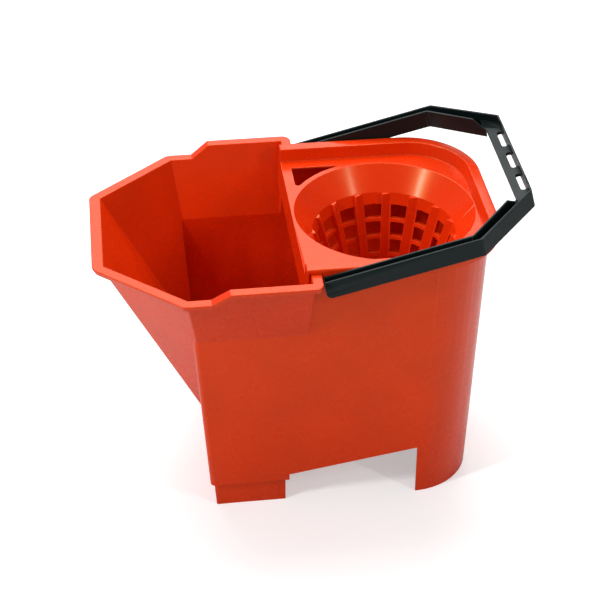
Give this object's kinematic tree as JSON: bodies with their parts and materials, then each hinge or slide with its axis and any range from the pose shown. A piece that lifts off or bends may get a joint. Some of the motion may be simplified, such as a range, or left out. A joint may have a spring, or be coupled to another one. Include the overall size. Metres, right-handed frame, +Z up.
{
  "type": "mop bucket",
  "caption": "Plastic mop bucket with a faceted pouring bowl, a lift-out cone wringer over the rear tank and a folding carry handle.",
  "frame": {"origin": "on the floor, on the plane of symmetry, under the middle of the object's whole length with the handle folded back", "axes": "+Z up, -X towards the pouring lip, +X towards the wringer and the folded handle, Y across the bucket"},
  "size_m": [0.3992, 0.2708, 0.3163],
  "materials": {
    "red_plastic": "semi-gloss moulded orange-red",
    "black_plastic": "satin near-black"
  },
  "bodies": {
    "bucket": {"bucket": "red_plastic"},
    "wringer": {"wringer": "red_plastic"},
    "handle": {"handle": "black_plastic"}
  },
  "joints": [
    {"name": "handle_pivot", "type": "hinge", "parent": "bucket", "child": "handle", "pos_m": [0.01428, 0, 0.2594], "axis": [0, -1, 0], "range_deg": [-14, 86]},
    {"name": "wringer_lift", "type": "slide", "parent": "bucket", "child": "wringer", "axis": [0, 0, 1], "range_m": [0, 0.108]}
  ]
}
